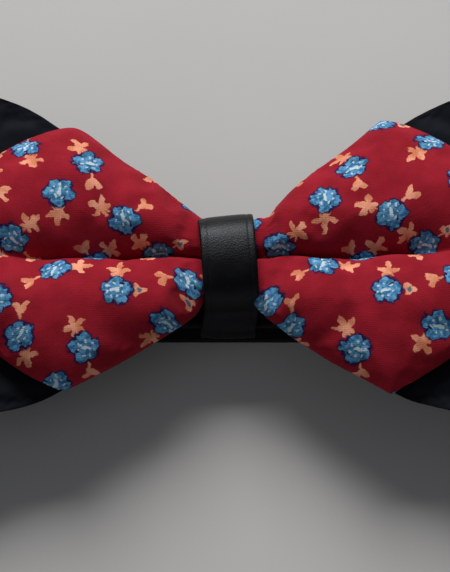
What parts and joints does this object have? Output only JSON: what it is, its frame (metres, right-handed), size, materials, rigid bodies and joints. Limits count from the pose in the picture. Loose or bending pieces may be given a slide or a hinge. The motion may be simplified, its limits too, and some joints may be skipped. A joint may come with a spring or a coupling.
{
  "type": "bow tie",
  "caption": "Pre-tied double bow tie: pointed printed front bow, black back bow and leather knot on a fastened adjustable neck band.",
  "frame": {"origin": "on the surface the tie lies on, straight under the middle of the knot", "axes": "+X across the wings towards the band's closure, +Y towards the top edge as worn, +Z out of the front of the bow"},
  "size_m": [0.224, 0.07, 0.0259],
  "materials": {
    "printed_cotton": "matt plain weave with a floral print",
    "black_cloth": "smooth black cloth with a faint sheen",
    "interfacing": "stiff felted interfacing",
    "black_leather": "fine pebbled grain, semi-gloss",
    "band_cloth": "black twill band",
    "thread": "polyester sewing thread",
    "metal": "polished nickel plate"
  },
  "bodies": {
    "band": {"band_front": "band_cloth", "band_back": "band_cloth", "band_left_fold": "band_cloth", "band_right_fold": "band_cloth", "band_return": "band_cloth", "hook": "metal"},
    "bow": {"front_bow_face": "printed_cotton", "front_bow_lining": "printed_cotton", "front_bow_interfacing": "interfacing", "back_bow_face": "black_cloth", "back_bow_lining": "black_cloth", "back_bow_interfacing": "interfacing", "gather_thread": "thread", "knot_wrap": "black_leather", "knot_stitches": "thread"},
    "adjuster": {"slider": "metal", "slider_tack": "thread", "band_slider_loop": "band_cloth"},
    "eye_end": {"eye": "metal", "eye_tack": "thread", "band_eye_loop": "band_cloth"}
  },
  "joints": [
    {"name": "bow_slide", "type": "slide", "parent": "band", "child": "bow", "axis": [1, 0, 0], "range_m": [-0.018, 0.018]},
    {"name": "slider_slide", "type": "slide", "parent": "band", "child": "adjuster", "axis": [1, 0, 0], "range_m": [-0.026, 0.005], "deforming": ["band_return"]},
    {"name": "clasp_release", "type": "slide", "parent": "band", "child": "eye_end", "axis": [-1, 0, 0], "range_m": [0, 0.003], "deforming": ["band_right_fold"]}
  ]
}
